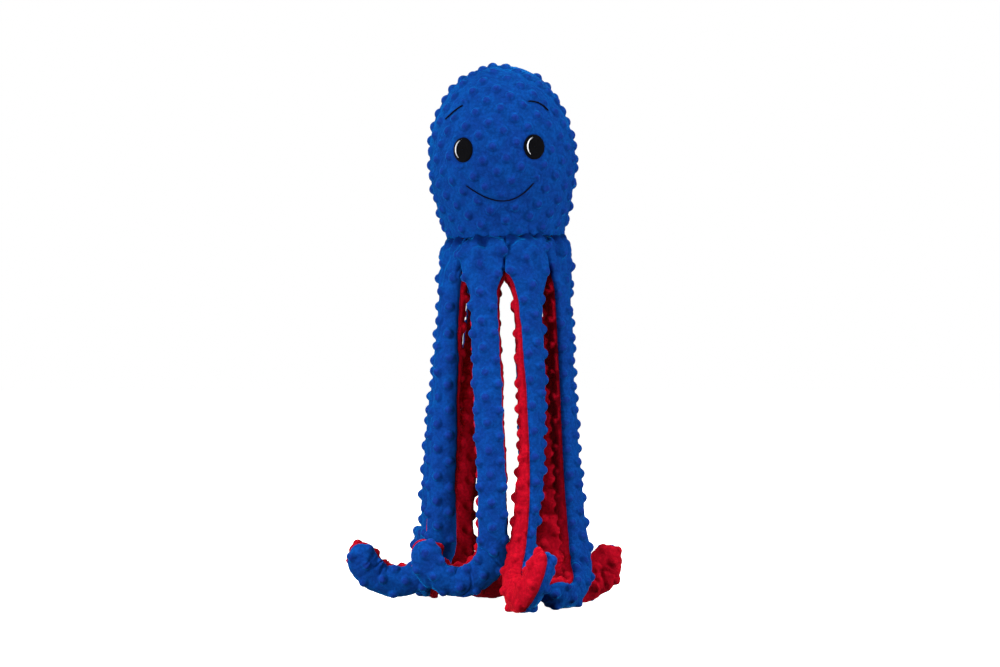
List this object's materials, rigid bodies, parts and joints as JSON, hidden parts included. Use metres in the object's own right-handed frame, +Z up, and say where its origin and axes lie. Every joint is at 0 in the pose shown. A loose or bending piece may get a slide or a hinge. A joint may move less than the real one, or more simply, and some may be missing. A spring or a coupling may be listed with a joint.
{
  "type": "plush octopus toy",
  "caption": "Stuffed plush octopus with an egg-shaped head, an embroidered face and long two-coloured arms that curl at the feet.",
  "frame": {"origin": "bottom centre of the box around the toy, on the floor it stands on", "axes": "+Z up along the toy, the face looks along -Y, +X to the right of someone facing the toy"},
  "size_m": [0.2874, 0.3008, 0.5599],
  "materials": {
    "blue_plush": "raised-dot plush, short nap",
    "red_plush": "raised-dot plush, short nap",
    "polyester_filling": "loose fibre filling",
    "black_thread": "satin stitch",
    "white_thread": "satin stitch",
    "squeaker_plastic": "soft moulded plastic"
  },
  "bodies": {
    "head": {"brow_left": "black_thread", "brow_right": "black_thread", "eye_gleam_left": "white_thread", "eye_gleam_right": "white_thread", "eye_left": "black_thread", "eye_right": "black_thread", "head_back_panel": "blue_plush", "head_filling": "polyester_filling", "head_front_panel": "blue_plush", "neck_base_disc": "red_plush", "smile": "black_thread", "squeaker": "squeaker_plastic"},
    "side_left_upper": {"arm_side_left_upper_filling": "polyester_filling", "arm_side_left_upper_inner_cover": "red_plush", "arm_side_left_upper_outer_cover": "blue_plush"},
    "side_left_lower": {"arm_side_left_lower_filling": "polyester_filling", "arm_side_left_lower_inner_cover": "red_plush", "arm_side_left_lower_outer_cover": "blue_plush"},
    "front_left_upper": {"arm_front_left_upper_filling": "polyester_filling", "arm_front_left_upper_inner_cover": "red_plush", "arm_front_left_upper_outer_cover": "blue_plush"},
    "front_left_lower": {"arm_front_left_lower_filling": "polyester_filling", "arm_front_left_lower_inner_cover": "red_plush", "arm_front_left_lower_outer_cover": "blue_plush"},
    "front_right_upper": {"arm_front_right_upper_filling": "polyester_filling", "arm_front_right_upper_inner_cover": "red_plush", "arm_front_right_upper_outer_cover": "blue_plush"},
    "front_right_lower": {"arm_front_right_lower_filling": "polyester_filling", "arm_front_right_lower_inner_cover": "red_plush", "arm_front_right_lower_outer_cover": "blue_plush"},
    "side_right_upper": {"arm_side_right_upper_filling": "polyester_filling", "arm_side_right_upper_inner_cover": "red_plush", "arm_side_right_upper_outer_cover": "blue_plush"},
    "side_right_lower": {"arm_side_right_lower_filling": "polyester_filling", "arm_side_right_lower_inner_cover": "red_plush", "arm_side_right_lower_outer_cover": "blue_plush"},
    "rear_right_upper": {"arm_rear_right_upper_filling": "polyester_filling", "arm_rear_right_upper_inner_cover": "red_plush", "arm_rear_right_upper_outer_cover": "blue_plush"},
    "rear_right_lower": {"arm_rear_right_lower_filling": "polyester_filling", "arm_rear_right_lower_inner_cover": "red_plush", "arm_rear_right_lower_outer_cover": "blue_plush"},
    "back_right_upper": {"arm_back_right_upper_filling": "polyester_filling", "arm_back_right_upper_inner_cover": "red_plush", "arm_back_right_upper_outer_cover": "blue_plush"},
    "back_right_lower": {"arm_back_right_lower_filling": "polyester_filling", "arm_back_right_lower_inner_cover": "red_plush", "arm_back_right_lower_outer_cover": "blue_plush"},
    "back_left_upper": {"arm_back_left_upper_filling": "polyester_filling", "arm_back_left_upper_inner_cover": "red_plush", "arm_back_left_upper_outer_cover": "blue_plush"},
    "back_left_lower": {"arm_back_left_lower_filling": "polyester_filling", "arm_back_left_lower_inner_cover": "red_plush", "arm_back_left_lower_outer_cover": "blue_plush"},
    "rear_left_upper": {"arm_rear_left_upper_filling": "polyester_filling", "arm_rear_left_upper_inner_cover": "red_plush", "arm_rear_left_upper_outer_cover": "blue_plush"},
    "rear_left_lower": {"arm_rear_left_lower_filling": "polyester_filling", "arm_rear_left_lower_inner_cover": "red_plush", "arm_rear_left_lower_outer_cover": "blue_plush"}
  },
  "joints": [
    {"name": "side_left_swing", "type": "hinge", "parent": "head", "child": "side_left_upper", "pos_m": [-0.03023, -0.00738, 0.365], "axis": [0, 1, 0], "range_deg": [0, 75], "stiffness_Nm_per_rad": 0.3},
    {"name": "side_left_bend", "type": "hinge", "parent": "side_left_upper", "child": "side_left_lower", "pos_m": [-0.03942, -0.01553, 0.22274], "axis": [0, 1, 0], "range_deg": [0, 70], "stiffness_Nm_per_rad": 0.3},
    {"name": "front_left_swing", "type": "hinge", "parent": "head", "child": "front_left_upper", "pos_m": [-0.00019, -0.03742, 0.365], "axis": [-0.9659, 0.2588, 0], "range_deg": [0, 75], "stiffness_Nm_per_rad": 0.3},
    {"name": "front_left_bend", "type": "hinge", "parent": "front_left_upper", "child": "front_left_lower", "pos_m": [0.00332, -0.05293, 0.21902], "axis": [-0.9659, 0.2588, 0], "range_deg": [0, 70], "stiffness_Nm_per_rad": 0.3},
    {"name": "front_right_swing", "type": "hinge", "parent": "head", "child": "front_right_upper", "pos_m": [0.04229, -0.03742, 0.365], "axis": [-0.9994, -0.0349, 0], "range_deg": [0, 75], "stiffness_Nm_per_rad": 0.3},
    {"name": "front_right_bend", "type": "hinge", "parent": "front_right_upper", "child": "front_right_lower", "pos_m": [0.04761, -0.04604, 0.21388], "axis": [-0.9994, -0.0349, 0], "range_deg": [0, 70], "stiffness_Nm_per_rad": 0.3},
    {"name": "side_right_swing", "type": "hinge", "parent": "head", "child": "side_right_upper", "pos_m": [0.07232, -0.00738, 0.365], "axis": [-0.2079, -0.9781, 0], "range_deg": [0, 75], "stiffness_Nm_per_rad": 0.3},
    {"name": "side_right_bend", "type": "hinge", "parent": "side_right_upper", "child": "side_right_lower", "pos_m": [0.08022, -0.0081, 0.21214], "axis": [-0.2079, -0.9781, 0], "range_deg": [0, 70], "stiffness_Nm_per_rad": 0.3},
    {"name": "rear_right_swing", "type": "hinge", "parent": "head", "child": "rear_right_upper", "pos_m": [0.07232, 0.0351, 0.365], "axis": [0.2588, -0.9659, 0], "range_deg": [0, 75], "stiffness_Nm_per_rad": 0.3},
    {"name": "rear_right_bend", "type": "hinge", "parent": "rear_right_upper", "child": "rear_right_lower", "pos_m": [0.0714, 0.04533, 0.20871], "axis": [0.2588, -0.9659, 0], "range_deg": [0, 70], "stiffness_Nm_per_rad": 0.3},
    {"name": "back_right_swing", "type": "hinge", "parent": "head", "child": "back_right_upper", "pos_m": [0.04229, 0.06513, 0.365], "axis": [0.9063, -0.4226, 0], "range_deg": [0, 75], "stiffness_Nm_per_rad": 0.3},
    {"name": "back_right_bend", "type": "hinge", "parent": "back_right_upper", "child": "back_right_lower", "pos_m": [0.04853, 0.07557, 0.21281], "axis": [0.9063, -0.4226, 0], "range_deg": [0, 70], "stiffness_Nm_per_rad": 0.3},
    {"name": "back_left_swing", "type": "hinge", "parent": "head", "child": "back_left_upper", "pos_m": [-0.00019, 0.06513, 0.365], "axis": [0.9962, -0.0872, 0], "range_deg": [0, 75], "stiffness_Nm_per_rad": 0.3},
    {"name": "back_left_bend", "type": "hinge", "parent": "back_left_upper", "child": "back_left_lower", "pos_m": [-0.01597, 0.07477, 0.21251], "axis": [0.9962, -0.0872, 0], "range_deg": [0, 70], "stiffness_Nm_per_rad": 0.3},
    {"name": "rear_left_swing", "type": "hinge", "parent": "head", "child": "rear_left_upper", "pos_m": [-0.03023, 0.0351, 0.365], "axis": [0.4695, 0.8829, 0], "range_deg": [0, 75], "stiffness_Nm_per_rad": 0.3},
    {"name": "rear_left_bend", "type": "hinge", "parent": "rear_left_upper", "child": "rear_left_lower", "pos_m": [-0.04492, 0.04334, 0.21719], "axis": [0.4695, 0.8829, 0], "range_deg": [0, 70], "stiffness_Nm_per_rad": 0.3}
  ]
}
